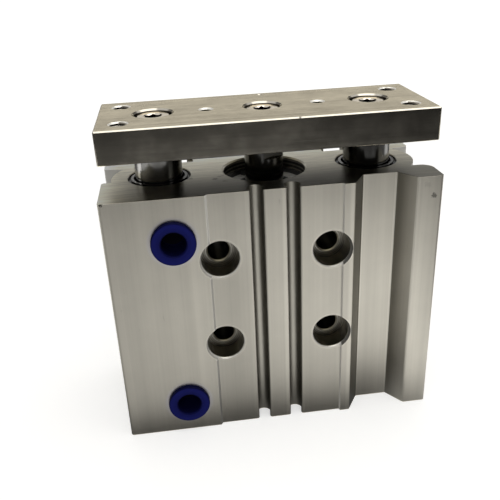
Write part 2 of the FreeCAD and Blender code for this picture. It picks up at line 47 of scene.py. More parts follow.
MM = 0.001
BODY_LOW, BODY_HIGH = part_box("cylinder_body")
PLATE_LOW, PLATE_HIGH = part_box("end_plate")
CAP_LOW, CAP_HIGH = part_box("port_cap_upper")
SCREW_TOP_Z = PLATE_HIGH.z - 0.6 * MM

# The sections of the front: a raised land at the left, a sunk panel with two switch
# grooves, a raised strip, and a channel along the right corner.
PANEL_X = -16.6 * MM
PANEL_Y = BODY_LOW.y + 0.8 * MM
STRIP_X = 16.85 * MM
GROOVE_X = 4.45 * MM
GROOVE_HALF_WIDTH = 2.1 * MM
GROOVE_DEEP_Y = -12.0 * MM
CHANNEL_X = (19.5 * MM, 35.0 * MM)
CHANNEL_MIDDLE_X = 27.0 * MM
CHANNEL_DEEP_Y = -11.0 * MM
CHANNEL_FLOOR_Y = -12.3 * MM

# Axes of round features: (x, z) where they run along Y, and (x, y) where they run along Z.
GUIDE_X = 27.0 * MM
PORT_X = (CAP_LOW.x + CAP_HIGH.x) / 2
PORT_Z = [sum(corner.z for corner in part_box(f"port_cap_{level}")) / 2 for level in ("lower", "upper")]
PORTS = [(PORT_X, z) for z in PORT_Z]
MOUNTING_HOLES = [(side * 14 * MM, z * MM) for side in (-1, 1) for z in (26, 50)]
CYLINDER_BORE = [(0.0, 0.0)]
GUIDES = [(-GUIDE_X, 0.0), (GUIDE_X, 0.0)]
PLATE_THREADS = [(sx * 35 * MM, sy * 9 * MM) for sx in (-1, 1) for sy in (-1, 1)]
PLATE_DOWEL_HOLES = [(sx * 14 * MM, 0.0) for sx in (-1, 1)]

# Each of these radii just takes in the wall of a hole in the body.
COUNTERBORE_R = 4.80 * MM
BOLT_HOLE_R = 2.74 * MM
CYLINDER_BORE_R = 10.68 * MM
GUIDE_BORE_R = 8.05 * MM

# A facing is one part of the surface's normal, from -1 to 1. Beyond the first limit a face
# is square to the axis, and between the other two it slopes.
SQUARE_ON = 0.8
TILTED = (0.3, 0.9)

SOFT_EDGE = 0.03 * MM
WHITE = (1.0, 1.0, 1.0, 1.0)


# ---- node trees --------------------------------------------------------------
class Nodes:
    """A node tree, with short calls for the nodes that it uses."""

    def __init__(self, owner, output_kind):
        owner.use_nodes = True
        self.tree = owner.node_tree
        self.tree.nodes.clear()
        self.output = self.node(output_kind)

    def node(self, kind, **settings):
        made = self.tree.nodes.new(kind)
        for name, value in settings.items():
            setattr(made, name, value)
        return made

    def feed(self, socket, value):
        """Links a socket, or sets it to a constant."""
        if isinstance(value, bpy.types.NodeSocket):
            self.tree.links.new(value, socket)
        else:
            socket.default_value = value

    def feed_colour(self, socket, colour):
        self.feed(socket, colour if isinstance(colour, bpy.types.NodeSocket) else (*colour, 1.0))

    def feed_all(self, sockets, values):
        for socket, value in zip(sockets, values):
            self.feed(socket, value)

    def feed_named(self, sockets, values):
        """An underscore in a socket's name stands for a space."""
        for name, value in values.items():
            self.feed(sockets[name.replace("_", " ")], value)

    # Numbers.
    def math(self, operation, a, b=0.0):
        made = self.node("ShaderNodeMath", operation=operation)
        self.feed_all(made.inputs, (a, b))
        return made.outputs[0]

    def times(self, first, *others):
        for other in others:
            first = self.math("MULTIPLY", first, other)
        return first

    def plus(self, first, *others):
        for other in others:
            first = self.math("ADD", first, other)
        return first

    def minus(self, first, second):
        return self.math("SUBTRACT", first, second)

    def absolute(self, value):
        return self.math("ABSOLUTE", value)

    def wave(self, value, pitch):
        """A sine from -1 to 1 that repeats after each pitch."""
        return self.math("SINE", self.times(value, 2 * math.pi / pitch))

    def spread(self, value, low, high, to_low=0.0, to_high=1.0, smooth=True):
        """Maps value from low..high to to_low..to_high and holds it there."""
        made = self.node("ShaderNodeMapRange", interpolation_type="SMOOTHSTEP" if smooth else "LINEAR")
        self.feed_named(made.inputs, dict(
            Value=value, From_Min=low, From_Max=high, To_Min=to_low, To_Max=to_high,
        ))
        return made.outputs["Result"]

    def blend(self, factor, a, b):
        """Numbers: a where factor is 0, b where it is 1."""
        made = self.node("ShaderNodeMix", data_type="FLOAT")
        self.feed_named(made.inputs, dict(Factor=factor, A=a, B=b))
        return made.outputs["Result"]

    # Masks, which are numbers from 0 to 1.
    def inside(self, value, limit, soft=SOFT_EDGE):
        """1 where value is below the limit, 0 above it."""
        return self.spread(value, limit - soft, limit + soft, 1.0, 0.0)

    def outside(self, value, limit, soft=SOFT_EDGE):
        """0 where value is below the limit, 1 above it."""
        return self.opposite(self.inside(value, limit, soft))

    def between(self, value, low, high, soft=SOFT_EDGE):
        return self.both(self.outside(value, low, soft), self.inside(value, high, soft))

    def opposite(self, mask):
        return self.minus(1.0, mask)

    def both(self, *masks):
        """1 only where every mask is 1."""
        return self.times(*masks)

    def either(self, first, *others):
        """1 where any mask is 1. Of other numbers, the largest."""
        for other in others:
            first = self.math("MAXIMUM", first, other)
        return first

    def shade(self, tone, mask, factor):
        """Multiplies tone by the factor where the mask is 1."""
        return self.times(tone, self.plus(1.0, self.times(mask, self.minus(factor, 1.0))))

    # Vectors and noise.
    def vector(self, operation, a, b=(0, 0, 0)):
        made = self.node("ShaderNodeVectorMath", operation=operation)
        self.feed_all(made.inputs, (a, b))
        return made.outputs["Value" if operation in ("LENGTH", "DISTANCE") else "Vector"]

    def split(self, vector):
        made = self.node("ShaderNodeSeparateXYZ")
        self.feed(made.inputs[0], vector)
        return made.outputs

    def join(self, x, y, z):
        made = self.node("ShaderNodeCombineXYZ")
        self.feed_all(made.inputs, (x, y, z))
        return made.outputs[0]

    def noise(self, vector, scale=1.0, detail=2.0, roughness=0.5, distortion=0.0):
        made = self.node("ShaderNodeTexNoise")
        self.feed_named(made.inputs, dict(
            Vector=vector, Scale=scale, Detail=detail, Roughness=roughness, Distortion=distortion,
        ))
        return made.outputs["Fac"]

    # Colours and shaders.
    def mix(self, factor, a, b):
        """Colours: a where factor is 0, b where it is 1."""
        made = self.node("ShaderNodeMix", data_type="RGBA")
        self.feed(made.inputs["Factor"], factor)
        self.feed_colour(made.inputs["A"], a)
        self.feed_colour(made.inputs["B"], b)
        return made.outputs["Result"]

    def tint(self, colour, amount):
        """A colour multiplied by a grey amount."""
        made = self.node("ShaderNodeMix", data_type="RGBA", blend_type="MULTIPLY")
        self.feed(made.inputs["Factor"], 1.0)
        self.feed_colour(made.inputs["A"], colour)
        self.feed(made.inputs["B"], amount)
        return made.outputs["Result"]

    def shader(self, kind, **values):
        made = self.node(kind)
        self.feed_named(made.inputs, values)
        return made.outputs[0]

    def join_shaders(self, kind, *parts):
        made = self.node(kind)
        self.feed_all(made.inputs, parts)
        return made.outputs[0]

    def show(self, shader):
        self.feed(self.output.inputs["Surface"], shader)


class Finish(Nodes):
    """The node tree of one new material."""

    def __init__(self, name):
        self.material = bpy.data.materials.new(name)
        super().__init__(self.material, "ShaderNodeOutputMaterial")
        coordinates = self.node("ShaderNodeTexCoord").outputs
        self.place = coordinates["Object"]
        self.own_place = coordinates["Generated"]
        self.x, self.y, self.z = self.split(self.place)
        self.facing_x, self.facing_y, self.facing_z = self.split(coordinates["Normal"])

    def stretched(self, x, y, z):
        """The place with each axis scaled: noise on it is drawn out along an axis with a small scale."""
        made = self.node("ShaderNodeMapping")
        self.feed(made.inputs["Vector"], self.place)
        self.feed(made.inputs["Scale"], (x, y, z))
        return made.outputs["Vector"]

    def distance(self, axis, centres):
        """Distance to the nearest of some straight lines that run along one axis."""
        across = [part for name, part in zip("xyz", (self.x, self.y, self.z)) if name != axis]
        nearest = None
        for centre in centres:
            gaps = [self.minus(part, middle) for part, middle in zip(across, centre)]
            away = self.vector("LENGTH", self.join(*gaps, 0.0))
            nearest = away if nearest is None else self.math("MINIMUM", nearest, away)
        return nearest

    def bump(self, height, distance, strength):
        made = self.node("ShaderNodeBump")
        self.feed_named(made.inputs, dict(Height=height, Distance=distance, Strength=strength))
        return made.outputs["Normal"]

    def metal_except(self, painted_pale):
        """Metallic, but mostly matt where the mask is 1, so that the pale colour painted there as light
        shows under the lamps.
        """
        return self.minus(1.0, self.times(painted_pale, 0.75))

    def finish(self, colour, roughness, metallic, normal, **constants):
        """Shows the finish and returns its material."""
        self.show(self.shader(
            "ShaderNodeBsdfPrincipled",
            Base_Color=colour, Roughness=roughness, Metallic=metallic, Normal=normal, **constants,
        ))
        return self.material


# ---- the anodised body -------------------------------------------------------
def shade_counterbores(f, tone):
    """Darkens the bolt holes with painted shade, puts painted highlights on the floors by the through holes,
    on their leads and round the mouths, and marks the rings that the cutter left on the floors.
    Also returns those rings and the mask of the bevels around the mouths."""
    from_hole = f.distance("y", MOUNTING_HOLES)
    on_front = f.inside(f.y, 0.0)
    sunk = f.outside(f.y, PANEL_Y + 0.35 * MM)
    in_counterbore = f.both(f.inside(from_hole, COUNTERBORE_R), sunk, on_front)
    on_floor = f.both(in_counterbore, f.inside(f.facing_y, -SQUARE_ON, 0.1))
    in_hole = f.both(f.inside(from_hole, BOLT_HOLE_R), sunk, on_front)
    slanting = f.between(f.absolute(f.facing_y), 0.30, 0.80, 0.1)
    hole_lead = f.both(in_counterbore, slanting, f.inside(from_hole, 3.2 * MM))
    rings = f.wave(from_hole, 0.46 * MM)
    # Painted shade in the counterbores; the rings on the floors are real cutter marks.
    tone = f.shade(tone, in_counterbore, 0.85)
    tone = f.shade(tone, on_floor, f.spread(rings, -1.0, 1.0, 0.50, 0.90))
    # Painted highlight on the floor by the through hole, fading to painted shade at the wall; painted shade,
    # nearly black, in the through hole; painted highlight on its lead.
    tone = f.shade(tone, on_floor, f.spread(from_hole, 2.9 * MM, 4.4 * MM, 1.30, 0.75))
    tone = f.shade(tone, in_hole, 0.10)
    tone = f.shade(tone, hole_lead, 1.3)

    straight_on = f.inside(f.facing_y, -0.92, 0.03)
    facing_front = f.inside(f.facing_y, -0.1)
    mouth = f.both(f.inside(from_hole, 5.6 * MM), on_front, facing_front, f.opposite(sunk))
    # Painted highlight: a light halo on the face round each mouth.
    halo = f.both(mouth, straight_on, f.inside(from_hole, 5.45 * MM, 0.1 * MM))
    tone = f.shade(tone, halo, 1.12)
    return tone, f.both(on_floor, rings), f.both(mouth, f.opposite(straight_on))


def shade_bores(f, tone):
    """Paints light and dark reflection stripes, all in painted shade, on the wall of the cylinder bore, and
    painted shade on the walls of the guide bores.
    """
    # Painted reflection: stripes for the bright and dark things that the bore's wall mirrors in turn.
    reflection_stripes = f.wave(f.z, 1.0 * MM)
    for centres, radius, below_top, factor in (
        (CYLINDER_BORE, CYLINDER_BORE_R, 0.45 * MM, f.spread(reflection_stripes, -0.2, 0.4, 0.30, 0.85)),
        (GUIDES, GUIDE_BORE_R, 0.30 * MM, 0.25),
    ):
        deep = f.inside(f.z, BODY_HIGH.z - below_top)
        tone = f.shade(tone, f.both(f.inside(f.distance("z", centres), radius), deep), factor)
    return tone


def shade_channel(f, tone):
    """Painted shade on the steep walls of the corner channel, lightening toward the rim on the right wall
    and deepest along the root of the left wall, and painted highlights on the edges of its floor.
    """
    in_channel = f.both(
        f.between(f.x, *CHANNEL_X),
        f.between(f.y, BODY_LOW.y + 0.25 * MM, CHANNEL_DEEP_Y),
        f.spread(f.absolute(f.facing_x), 0.40, 0.75),
    )
    on_left = f.inside(f.x, CHANNEL_MIDDLE_X)
    right_factor = f.times(
        f.spread(f.z, 12 * MM, 42 * MM, 0.78, 0.86),
        f.spread(f.x, 31.6 * MM, 34.8 * MM, 0.75, 1.45),
    )
    # Painted shade on the channel walls.
    tone = f.shade(tone, f.both(in_channel, on_left), 0.37)
    tone = f.shade(tone, f.both(in_channel, f.opposite(on_left)), right_factor)
    # Painted shade along the root of the left wall.
    root = f.both(in_channel, f.between(f.x, 22.35 * MM, 22.75 * MM, 0.08 * MM))
    tone = f.shade(tone, root, 0.55)
    # Painted highlights along the two edges of the floor.
    on_floor = f.inside(f.absolute(f.minus(f.y, CHANNEL_FLOOR_Y)), 0.1 * MM)
    for start in (22.9 * MM, 31.0 * MM):
        edge = f.both(on_floor, f.between(f.x, start, start + 0.3 * MM, 0.08 * MM))
        tone = f.shade(tone, edge, 1.12)
    return tone


def shade_grooves(f, tone):
    """Painted shade on the steep walls of the two switch grooves."""
    from_groove = f.absolute(f.minus(f.absolute(f.x), GROOVE_X))
    in_groove = f.both(
        f.inside(from_groove, GROOVE_HALF_WIDTH),
        f.between(f.y, PANEL_Y + 0.25 * MM, GROOVE_DEEP_Y),
        f.spread(f.absolute(f.facing_x), 0.32, 0.85),
    )
    # Painted shade on the groove walls.
    return f.shade(tone, in_groove, 0.34)


def shade_front(f, tone):
    """Painted highlight bands beside the grooves and the strip, and painted light and shade over the whole
    front: darker on the left of the panel and at the foot on the left, lighter low on the right.
    """
    on_face = f.inside(f.y, PANEL_Y + 0.02 * MM)
    # Painted highlight bands.
    for low, high, factor in (
        (-7.4, -6.0, 1.08),
        (-2.9, -2.2, 1.06),
        (1.6, 2.9, 1.14),
        (6.0, 6.8, 1.06),
        (18.2, 19.4, 1.12),
    ):
        band = f.both(on_face, f.between(f.x, low * MM, high * MM, 0.25 * MM))
        tone = f.shade(tone, band, factor)
    # Painted shade on the left of the panel, deepest low down, painted light low on the right, and painted
    # shade at the foot on the left.
    panel_left = f.both(on_face, f.between(f.x, -16.3 * MM, -6.4 * MM, 0.8 * MM))
    tone = f.shade(tone, panel_left, f.spread(f.z, 40 * MM, 58 * MM, 0.85, 0.96))
    off_rim = f.either(f.inside(f.x, 37 * MM, 1 * MM), f.inside(f.z, 22 * MM, 8 * MM))
    low_right = f.both(f.outside(f.x, 21 * MM, 2 * MM), f.inside(f.z, 50 * MM, 10 * MM), off_rim)
    tone = f.shade(tone, low_right, 1.09)
    low_left = f.both(on_face, f.inside(f.x, 14 * MM, 6 * MM))
    return f.shade(tone, low_left, f.spread(f.z, 12 * MM, 34 * MM, 0.90, 1.0))


def shade_marks(f, tone):
    """Small knocks and scuffs on the rim and on the upper end."""
    on_rim = BODY_LOW.y + 0.4 * MM
    top = BODY_HIGH.z
    broken = f.noise(f.place, 2400.0, 2.0, 0.7)
    for spot, size, factor in (
        ((39.2 * MM, on_rim, 62.1 * MM), 0.60 * MM, 0.40),
        ((37.4 * MM, on_rim, 65.1 * MM), 0.70 * MM, 0.90),
        ((-13.3 * MM, -6.2 * MM, top), 0.65 * MM, 0.45),
        ((-12.1 * MM, -4.5 * MM, top), 0.45 * MM, 0.60),
        ((-11.2 * MM, -3.9 * MM, top), 0.40 * MM, 0.65),
        ((-11.0 * MM, -8.4 * MM, top), 0.50 * MM, 0.55),
        ((-20.2 * MM, -0.6 * MM, top), 0.60 * MM, 0.60),
        ((-19.6 * MM, -4.1 * MM, top), 0.80 * MM, 0.55),
        ((-40.7 * MM, BODY_LOW.y, top - 0.1 * MM), 0.40 * MM, 0.20),
    ):
        away = f.vector("DISTANCE", f.place, spot)
        away = f.plus(away, f.spread(broken, 0.3, 0.7, -0.5 * size, 0.5 * size))
        tone = f.shade(tone, f.inside(away, size, 0.3 * size), factor)
    return tone


def shade_upper_end(f, tone):
    """Painted shade on the upper end, darkest in front where the plate hangs over it, painted light toward
    the back and at the left edge, and painted shade on the chamfer of its front edge.
    """
    streaks = f.noise(f.stretched(70, 2600, 1), 1.0, 3.0, 0.65)
    on_top = f.both(f.outside(f.z, BODY_HIGH.z - 0.02 * MM, 0.01 * MM), f.spread(f.facing_z, 0.6, 0.8))
    toward_back = f.spread(f.y, -14 * MM, 6 * MM, f.spread(f.x, 30 * MM, 36 * MM, 0.18, 0.34), 1.0)
    toward_left = f.spread(f.x, -41.2 * MM, -29 * MM, 1.35, 0.10, smooth=False)
    # Painted shade in front and painted light at the back and the left edge; the streaks are real milling
    # marks.
    factor = f.times(
        f.either(toward_back, toward_left),
        f.spread(f.y, 3 * MM, 14 * MM, 1.0, 1.4),
        f.spread(streaks, 0.25, 0.75, 0.76, 1.24),
    )
    tone = f.shade(tone, on_top, factor)
    # Painted shade on the chamfer of the front edge.
    high = f.outside(f.z, BODY_HIGH.z - 0.1 * MM)
    edge = f.both(f.between(f.facing_z, *TILTED, 0.05), high, f.inside(f.y, -12 * MM))
    return f.shade(tone, edge, 0.32)


def paint_slopes(f, colour, bevel):
    """Paints light on the steps beside the panel, the recesses of the sides and the counterbores' bevels:
    pale colours as painted highlights, with painted shade low on the left step, and a dark colour as painted
    shade on the bevels beside the strip.
    Also returns one mask of all of them."""
    # A pale colour that stands in for the light that these slopes mirror.
    painted_pale = (0.80, 0.785, 0.74)
    on_front = f.inside(f.y, PANEL_Y + 0.02 * MM)
    left_step = f.both(
        on_front,
        f.inside(f.absolute(f.minus(f.x, PANEL_X)), 0.30 * MM),
        f.spread(f.facing_x, 0.25, 0.5),
    )
    # Painted shade on the left step below the upper bolt hole, deepest at its foot.
    level = f.times(f.spread(f.z, 49 * MM, 54 * MM, 0.64, 1.0), f.spread(f.z, 2 * MM, 24 * MM, 0.50, 1.0))
    colour = f.mix(left_step, colour, f.tint(painted_pale, level))
    right_step = f.both(
        on_front,
        f.between(f.x, 16.45 * MM, STRIP_X, 0.05 * MM),
        f.spread(f.absolute(f.facing_x), 0.2, 0.5),
    )
    # Painted light on the right step, the recesses and the bevels.
    colour = f.mix(right_step, colour, (0.64, 0.625, 0.585))
    recess = f.both(
        f.outside(f.absolute(f.x), 30 * MM),
        f.between(f.y, 6 * MM, 9.6 * MM),
        f.inside(f.facing_y, -0.5, 0.1),
    )
    colour = f.mix(recess, colour, f.tint(painted_pale, f.spread(f.x, -1 * MM, 1 * MM, 0.76, 1.0)))
    colour = f.mix(bevel, colour, (0.74, 0.725, 0.68))
    # Painted shade: a dark colour on the bevels beside the strip.
    colour = f.mix(f.both(bevel, f.outside(f.x, STRIP_X)), colour, (0.16, 0.155, 0.145))
    return colour, f.either(left_step, recess, right_step, bevel)


def anodised_extrusion():
    """Satin clear anodising: upright draw lines on the sides, milling marks on the two ends, with painted
    light and shade added in the holes, grooves and channel, on the front and on the upper end.
    """
    f = Finish("anodised_body")
    on_end = f.spread(f.absolute(f.facing_z), 0.6, 0.8)

    draw = f.noise(f.stretched(1700, 1700, 9), 1.0, 3.0, 0.6)
    wide_draw = f.noise(f.stretched(260, 260, 4), 1.0, 2.0, 0.5)
    mottle = f.noise(f.place, 90.0, 3.0, 0.6)
    grain = f.noise(f.place, 5200.0, 2.0, 0.6)
    scuff = f.noise(f.stretched(900, 900, 260), 1.0, 2.0, 0.7)
    from_cutter = f.vector("DISTANCE", f.join(f.x, f.y, 0.0), (0.03, -0.42, 0.0))
    milling = f.noise(f.join(f.times(from_cutter, 1500.0), f.times(f.x, 12.0), 0.0), 1.0, 3.0, 0.7)
    lines = f.plus(f.times(draw, 0.55), f.times(wide_draw, 0.45))
    surface = f.blend(on_end, lines, milling)

    tone = f.plus(0.86, f.times(surface, 0.24))
    tone = f.plus(tone, f.spread(mottle, 0.3, 0.7, -0.03, 0.03), f.spread(wide_draw, 0.3, 0.7, -0.03, 0.03))
    tone = f.minus(tone, f.spread(scuff, 0.70, 0.78, 0.0, 0.10))
    # Painted light: a little lighter toward the top.
    tone = f.times(tone, f.spread(f.z, 44 * MM, 58 * MM, 1.0, 1.08))
    tone, rings, bevel = shade_counterbores(f, tone)
    for shade_part in (shade_bores, shade_channel, shade_grooves, shade_front, shade_marks, shade_upper_end):
        tone = shade_part(f, tone)
    tone = f.shade(tone, on_end, 1.34)

    colour = f.tint(f.mix(on_end, (0.570, 0.545, 0.480), (0.578, 0.545, 0.438)), tone)
    # Painted highlight round each port, tinted by the blue cap.
    near_cap = f.both(f.inside(f.distance("y", PORTS), 6.3 * MM, 0.5 * MM), f.inside(f.y, 0.0))
    colour = f.mix(f.times(near_cap, 0.4), colour, (0.60, 0.59, 0.68))
    colour, painted_pale = paint_slopes(f, colour, bevel)

    roughness = f.plus(f.spread(on_end, 0.0, 1.0, 0.33, 0.24), f.times(grain, 0.08), f.times(mottle, 0.05))
    relief = f.plus(f.times(surface, 0.7), f.times(grain, 0.3), rings)
    normal = f.bump(relief, 0.02 * MM, f.spread(on_end, 0.0, 1.0, 0.55, 0.25))
    return f.finish(colour, roughness, f.metal_except(painted_pale), normal)


# ---- other metals ------------------------------------------------------------
def ground_nickel():
    """Ground flat and nickel plated: long fine scratches along X, warm and slightly cloudy; painted shade
    down the holes, on the front, underneath and on the bevels, painted highlights on the holes' leads, and
    painted light toward +X.
    """
    f = Finish("nickel_plate")
    fine = f.noise(f.stretched(40, 3200, 3200), 1.0, 3.0, 0.65)
    coarse = f.noise(f.stretched(12, 700, 700), 1.0, 2.0, 0.6)
    cloud = f.noise(f.place, 120.0, 4.0, 0.65)
    tone = f.plus(0.90, f.times(fine, 0.12), f.spread(cloud, 0.25, 0.75, -0.05, 0.05))
    # Painted shade down the holes.
    below_top = f.inside(f.z, PLATE_HIGH.z - 0.40 * MM)
    for centres, radius in (
        (PLATE_THREADS, 2.14 * MM),
        (PLATE_DOWEL_HOLES, 1.54 * MM),
        (GUIDES, 4.79 * MM),
        (CYLINDER_BORE, 4.54 * MM),
    ):
        tone = f.shade(tone, f.both(f.inside(f.distance("z", centres), radius), below_top), 0.18)
    from_nick = f.vector("DISTANCE", f.place, (6.6 * MM, PLATE_LOW.y, PLATE_HIGH.z))
    tone = f.shade(tone, f.inside(from_nick, 0.35 * MM, 0.15 * MM), 0.25)
    # Painted shade on the front, deeper toward the right and at the top edge; the cloud is the plating's
    # own.
    on_front = f.inside(f.facing_y, -SQUARE_ON, 0.1)
    for factor in (
        f.spread(f.x, -10 * MM, 34 * MM, 0.74, 0.36),
        f.spread(f.z, PLATE_HIGH.z - 4 * MM, PLATE_HIGH.z - 0.6 * MM, 1.0, 0.75),
        f.spread(cloud, 0.30, 0.70, 0.95, 1.05),
    ):
        tone = f.shade(tone, on_front, factor)
    # Painted shade underneath and on the bevels.
    underneath = f.inside(f.facing_z, -SQUARE_ON, 0.1)
    tone = f.shade(tone, underneath, 0.40)
    tilted = f.between(f.facing_z, *TILTED, 0.08)
    tone = f.shade(tone, tilted, 0.72)
    # Painted light: a little lighter toward +X.
    tone = f.times(tone, f.spread(f.x, 0.0, 25 * MM, 1.0, 1.06))
    # Painted highlights: pale, matt leads of the holes.
    near_hole = f.inside(f.distance("z", PLATE_THREADS + PLATE_DOWEL_HOLES), 2.7 * MM)
    hole_lead = f.both(near_hole, tilted)
    metallic = f.metal_except(hole_lead)
    colour = f.mix(hole_lead, f.tint((0.64, 0.60, 0.515), tone), (0.95, 0.93, 0.86))
    roughness = f.plus(0.10, f.times(coarse, 0.12), f.spread(cloud, 0.3, 0.8, 0.0, 0.08))
    normal = f.bump(f.plus(fine, coarse), 0.008 * MM, 0.6)
    return f.finish(colour, roughness, metallic, normal, Specular_Tint=(0.89, 0.83, 0.69, 1.0))


def turned_metal(name, colour, roughness, metallic=1.0):
    """Lathe marks: rings about the piece's own upright axis."""
    f = Finish(name)
    ring_pitch = 0.12 * MM
    from_axis_x, from_axis_y, _ = f.split(f.vector("SUBTRACT", f.own_place, (0.5, 0.5, 0.0)))
    radius = f.vector("LENGTH", f.join(from_axis_x, from_axis_y, 0.0))
    # The radius is a share of the piece's width, and the rings are spaced as on one of 10 mm.
    across = f.times(radius, 10 * MM / ring_pitch)
    along = f.times(f.z, 1.0 / ring_pitch)
    marks = f.noise(f.join(across, along, 0.0), 1.0, 2.0, 0.6)
    cloud = f.noise(f.place, 350.0, 3.0, 0.6)
    tone = f.plus(0.88, f.times(marks, 0.16), f.spread(cloud, 0.3, 0.7, -0.04, 0.04))
    rough = f.plus(roughness, f.spread(cloud, 0.3, 0.7, -0.03, 0.05))
    return f.finish(f.tint(colour, tone), rough, metallic, f.bump(marks, 0.01 * MM, 0.5))


def facing_marks(f, from_axis):
    """Fine rings about an upright axis, as a lathe leaves them on a flat end."""
    return f.noise(f.join(f.times(from_axis, 9000.0), 0.0, 0.0), 1.0, 2.0, 0.6)


def ground_chrome():
    """Centreless ground rods; painted shade darkens the piston rod, and painted reflection leaves the guides
    brightest on the sides away from the bore, with a painted highlight on the left guide's front.
    """
    f = Finish("hard_chrome")
    facing_out = f.times(f.facing_x, f.math("SIGN", f.x))
    fine = f.noise(f.stretched(60, 60, 14000), 1.0, 2.0, 0.6)
    draw = f.noise(f.stretched(900, 900, 30), 1.0, 2.0, 0.5)
    tone = f.plus(0.86, f.times(f.plus(fine, draw), 0.14))
    # Painted shade on the piston rod.
    piston_rod = f.inside(f.distance("z", CYLINDER_BORE), 5.5 * MM)
    tone = f.shade(tone, piston_rod, 0.42)
    # Painted reflection on the guides: painted shade on the sides toward the bore, a painted highlight on
    # the left guide's front.
    inward = f.both(f.opposite(piston_rod), f.inside(facing_out, 0.78, 0.08))
    on_left = f.spread(f.facing_x, 0.1, 0.55, 1.35, 0.22)
    on_right = f.spread(f.facing_x, 0.0, 0.5, 0.30, 0.55)
    tone = f.shade(tone, inward, f.spread(f.x, -1 * MM, 1 * MM, on_left, on_right))
    rough = f.plus(0.12, f.times(draw, 0.08))
    return f.finish(f.tint((0.475, 0.468, 0.452), tone), rough, 1.0, f.bump(fine, 0.004 * MM, 0.4))


def socket_screw():
    """Nickel plated like the plate, with painted shade in the socket, between the knurls and down the
    threads, and a matt, lighter upper flank on the threads as painted light.
    """
    f = Finish("bright_screw")
    from_axis = f.distance("z", GUIDES + CYLINDER_BORE)
    in_socket = f.both(f.inside(from_axis, 2.5 * MM), f.inside(f.z, SCREW_TOP_Z - 0.34 * MM))
    on_knurl = f.both(f.outside(from_axis, 4.2 * MM), f.inside(f.z, SCREW_TOP_Z - 0.5 * MM))
    on_thread = f.outside(from_axis, 6.0 * MM)
    marks = facing_marks(f, from_axis)
    cloud = f.noise(f.place, 350.0, 3.0, 0.6)
    tone = f.plus(0.90, f.times(marks, 0.12), f.spread(cloud, 0.3, 0.7, -0.04, 0.04))
    # Painted shade in the socket, between the knurls and down the threads, deepest on the lower flanks and
    # the deeper turns.
    tone = f.shade(tone, in_socket, 0.10)
    tone = f.shade(tone, on_knurl, 0.30)
    tone = f.shade(tone, on_thread, f.spread(f.facing_z, -0.3, 0.5, 0.08, 0.85))
    near_top = f.spread(f.z, PLATE_HIGH.z - 1.1 * MM, PLATE_HIGH.z - 0.85 * MM, 0.1, 1.0)
    tone = f.shade(tone, on_thread, near_top)
    colour = f.tint((0.63, 0.58, 0.495), tone)
    rough = f.plus(0.15, f.spread(cloud, 0.3, 0.7, -0.03, 0.05))
    normal = f.bump(marks, 0.005 * MM, 0.4)
    return f.finish(colour, rough, f.metal_except(on_thread), normal, Specular_Tint=(0.95, 0.91, 0.83, 1.0))


def felt_holder_metal():
    """Painted shade over the whole holder, deeper toward the right, and darker still down in the groove
    around its flat ring and in its hole.
    """
    f = Finish("holder_steel")
    from_axis = f.distance("z", GUIDES)
    marks = facing_marks(f, from_axis)
    tone = f.plus(0.88, f.times(marks, 0.16))
    rightward = f.minus(f.x, f.times(f.math("SIGN", f.x), GUIDE_X))
    # Painted shade, deeper toward the right.
    tone = f.times(tone, f.spread(rightward, -4 * MM, 4 * MM, 0.42, 0.15))
    # Painted shade in the groove and the hole.
    off_flat = f.opposite(f.between(from_axis, 6.53 * MM, 7.17 * MM))
    tone = f.shade(tone, off_flat, 0.08)
    rough = f.plus(0.16, f.times(marks, 0.06))
    return f.finish(f.tint((0.60, 0.585, 0.54), tone), rough, 1.0, f.bump(marks, 0.008 * MM, 0.4))


def phosphated_steel():
    """Dark, fine-grained and cloudy."""
    f = Finish("dark_spring_steel")
    crystal = f.noise(f.place, 4200.0, 3.0, 0.7)
    cloud = f.noise(f.place, 420.0, 3.0, 0.6)
    colour = f.tint((0.10, 0.10, 0.098), f.plus(0.7, f.times(cloud, 0.6)))
    rough = f.plus(0.34, f.times(crystal, 0.22))
    return f.finish(colour, rough, 0.85, f.bump(crystal, 0.02 * MM, 0.6))


# ---- soft and moulded --------------------------------------------------------
def wool_felt():
    """Dark grey and hairy."""
    f = Finish("felt")
    fibres = f.noise(f.place, 3800.0, 5.0, 0.75, 1.2)
    colour = f.mix(f.spread(fibres, 0.35, 0.7), (0.012, 0.012, 0.011), (0.06, 0.057, 0.05))
    return f.finish(colour, 0.95, 0.0, f.bump(fibres, 0.12 * MM, 0.9), Sheen_Weight=0.3, Sheen_Roughness=0.5)


def moulded_skin(f, roughness, depth):
    """Tone, roughness and normal of something moulded: a little uneven, with a fine skin."""
    skin = f.noise(f.place, 2600.0, 3.0, 0.6)
    cloud = f.noise(f.place, 260.0, 3.0, 0.55)
    tone = f.plus(0.86, f.times(cloud, 0.28))
    rough = f.plus(roughness, f.spread(cloud, 0.3, 0.7, -0.05, 0.06))
    return tone, rough, f.bump(skin, depth, 0.5)


def moulded(name, colour, roughness):
    """Rubber or plastic of one colour."""
    f = Finish(name)
    tone, rough, normal = moulded_skin(f, roughness, 0.02 * MM)
    return f.finish(f.tint(colour, tone), rough, 0.0, normal)


